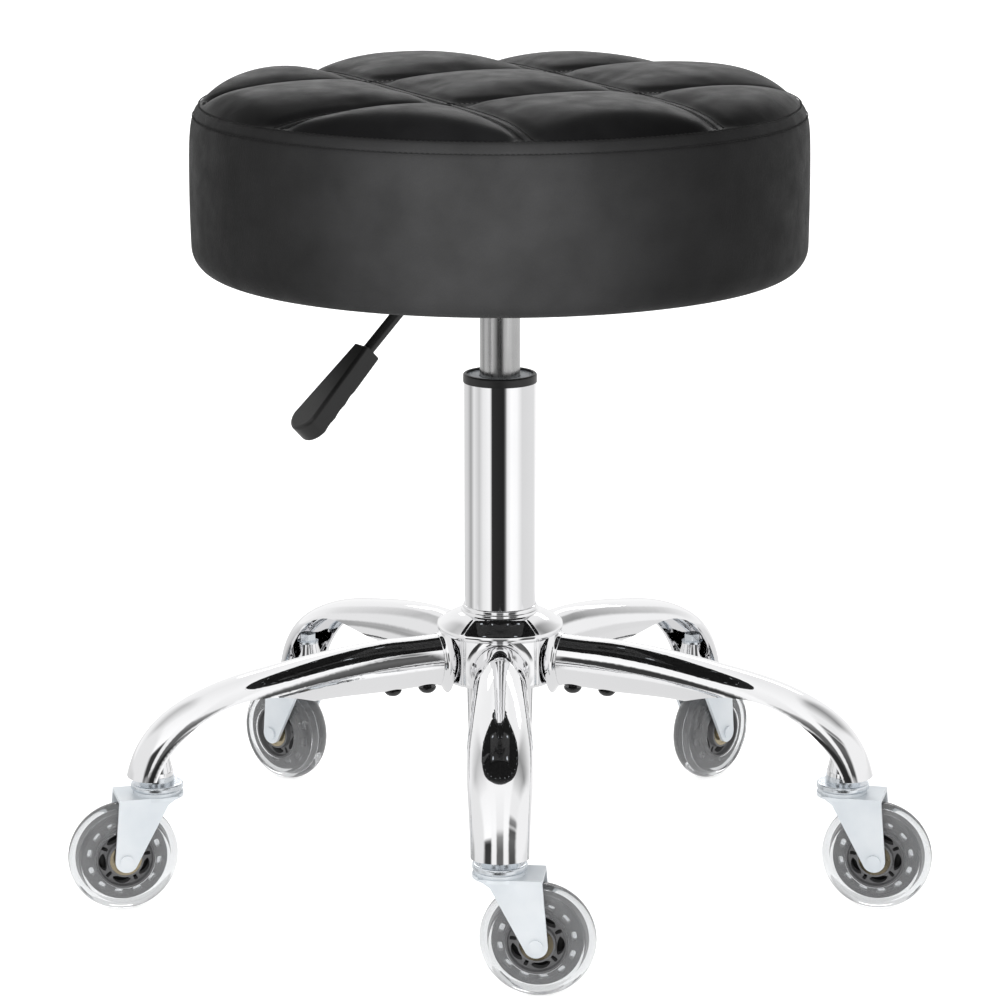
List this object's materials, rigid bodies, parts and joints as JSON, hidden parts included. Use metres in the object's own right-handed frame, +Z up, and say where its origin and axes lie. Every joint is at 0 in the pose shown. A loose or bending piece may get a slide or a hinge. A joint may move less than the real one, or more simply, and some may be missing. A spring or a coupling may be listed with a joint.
{
  "type": "adjustable swivel stool",
  "caption": "Round tufted stool seat on a gas lift with a side lever, over a five-star chromed base on clear-tyred swivel casters.",
  "frame": {"origin": "on the floor under the column's axis", "axes": "+Z up along the column; -Y along the front arm; +X to the right seen from the front"},
  "size_m": [0.594, 0.5205, 0.565],
  "materials": {
    "black_leatherette": "semi-matte fine grain",
    "foam": "open-cell foam",
    "plywood": "raw",
    "black_felt": "non-woven",
    "zinc_steel": "bright zinc plate",
    "black_steel": "satin black",
    "satin_steel": "fine satin",
    "black_plastic": "moulded",
    "black_rubber": "matte",
    "chrome": "mirror",
    "grey_plastic": "moulded",
    "clear_polyurethane": "clear, glossy",
    "bearing_steel": "bright, brass tint"
  },
  "bodies": {
    "base": {"outer_column": "chrome", "guide_sleeve": "black_plastic", "column_cap": "black_plastic", "cap_washer": "zinc_steel", "hub": "chrome", "arm_1": "chrome", "arm_2": "chrome", "arm_3": "chrome", "arm_4": "chrome", "arm_5": "chrome", "arm_bolts": "black_steel", "stem_bolts": "zinc_steel", "swivel_races": "zinc_steel"},
    "spindle": {"piston_rod": "satin_steel", "piston": "zinc_steel", "piston_seal": "black_rubber", "bump_stop": "black_rubber", "thrust_bearing": "satin_steel", "retaining_clip": "zinc_steel"},
    "lift": {"seat_cover": "black_leatherette", "seat_foam": "foam", "seat_board": "plywood", "dust_cover": "black_felt", "tee_nuts": "zinc_steel", "cover_staples": "zinc_steel", "mount_plate": "black_steel", "taper_socket": "black_steel", "mount_screws": "zinc_steel", "mount_washers": "zinc_steel", "pressure_tube": "satin_steel", "rod_guide": "black_plastic", "lever_clip": "black_steel"},
    "valve": {"valve_pin": "satin_steel"},
    "lever": {"lever_rod": "black_steel", "lever_handle": "black_plastic"},
    "caster_1": {"fork_1": "zinc_steel", "axle_1": "zinc_steel"},
    "wheel_1": {"wheel_core_1": "grey_plastic", "tyre_1": "clear_polyurethane", "bearings_1": "bearing_steel"},
    "caster_2": {"fork_2": "zinc_steel", "axle_2": "zinc_steel"},
    "wheel_2": {"wheel_core_2": "grey_plastic", "tyre_2": "clear_polyurethane", "bearings_2": "bearing_steel"},
    "caster_3": {"fork_3": "zinc_steel", "axle_3": "zinc_steel"},
    "wheel_3": {"wheel_core_3": "grey_plastic", "tyre_3": "clear_polyurethane", "bearings_3": "bearing_steel"},
    "caster_4": {"fork_4": "zinc_steel", "axle_4": "zinc_steel"},
    "wheel_4": {"wheel_core_4": "grey_plastic", "tyre_4": "clear_polyurethane", "bearings_4": "bearing_steel"},
    "caster_5": {"fork_5": "zinc_steel", "axle_5": "zinc_steel"},
    "wheel_5": {"wheel_core_5": "grey_plastic", "tyre_5": "clear_polyurethane", "bearings_5": "bearing_steel"}
  },
  "joints": [
    {"name": "seat_swivel", "type": "hinge", "parent": "base", "child": "spindle", "pos_m": [0, 0, 0.105], "axis": [0, 0, 1], "continuous": true},
    {"name": "seat_height", "type": "slide", "parent": "spindle", "child": "lift", "axis": [0, 0, 1], "range_m": [-0.035, 0.105]},
    {"name": "lever_tilt", "type": "hinge", "parent": "lift", "child": "lever", "pos_m": [-0.02496, -0.01665, 0.4225], "axis": [-0.5548, 0.832, 0], "range_deg": [0, 6], "stiffness_Nm_per_rad": 4, "springref_deg": -2.86},
    {"name": "valve_press", "type": "slide", "parent": "lift", "child": "valve", "axis": [0, 0, -1], "range_m": [0, 0.0033]},
    {"name": "caster_swivel_1", "type": "hinge", "parent": "base", "child": "caster_1", "pos_m": [0, -0.248, 0.08], "axis": [0, 0, 1], "continuous": true},
    {"name": "wheel_spin_1", "type": "hinge", "parent": "caster_1", "child": "wheel_1", "pos_m": [0.02448, -0.25044, 0.038], "axis": [0.0993, 0.9951, 0], "continuous": true},
    {"name": "caster_swivel_2", "type": "hinge", "parent": "base", "child": "caster_2", "pos_m": [0.23586, -0.07664, 0.08], "axis": [0, 0, 1], "continuous": true},
    {"name": "wheel_spin_2", "type": "hinge", "parent": "caster_2", "child": "wheel_2", "pos_m": [0.25979, -0.08234, 0.038], "axis": [0.2317, 0.9728, 0], "continuous": true},
    {"name": "caster_swivel_3", "type": "hinge", "parent": "base", "child": "caster_3", "pos_m": [0.14577, 0.20064, 0.08], "axis": [0, 0, 1], "continuous": true},
    {"name": "wheel_spin_3", "type": "hinge", "parent": "caster_3", "child": "wheel_3", "pos_m": [0.16155, 0.21951, 0.038], "axis": [-0.7672, 0.6414, 0], "continuous": true},
    {"name": "caster_swivel_4", "type": "hinge", "parent": "base", "child": "caster_4", "pos_m": [-0.14577, 0.20064, 0.08], "axis": [0, 0, 1], "continuous": true},
    {"name": "wheel_spin_4", "type": "hinge", "parent": "caster_4", "child": "wheel_4", "pos_m": [-0.16408, 0.21707, 0.038], "axis": [-0.6678, -0.7443, 0], "continuous": true},
    {"name": "caster_swivel_5", "type": "hinge", "parent": "base", "child": "caster_5", "pos_m": [-0.23586, -0.07664, 0.08], "axis": [0, 0, 1], "continuous": true},
    {"name": "wheel_spin_5", "type": "hinge", "parent": "caster_5", "child": "wheel_5", "pos_m": [-0.25967, -0.08284, 0.038], "axis": [0.2521, -0.9677, 0], "continuous": true}
  ],
  "couplings": [
    {"joint": "valve_press", "follows": "lever_tilt", "m_per_rad": 0.03}
  ]
}
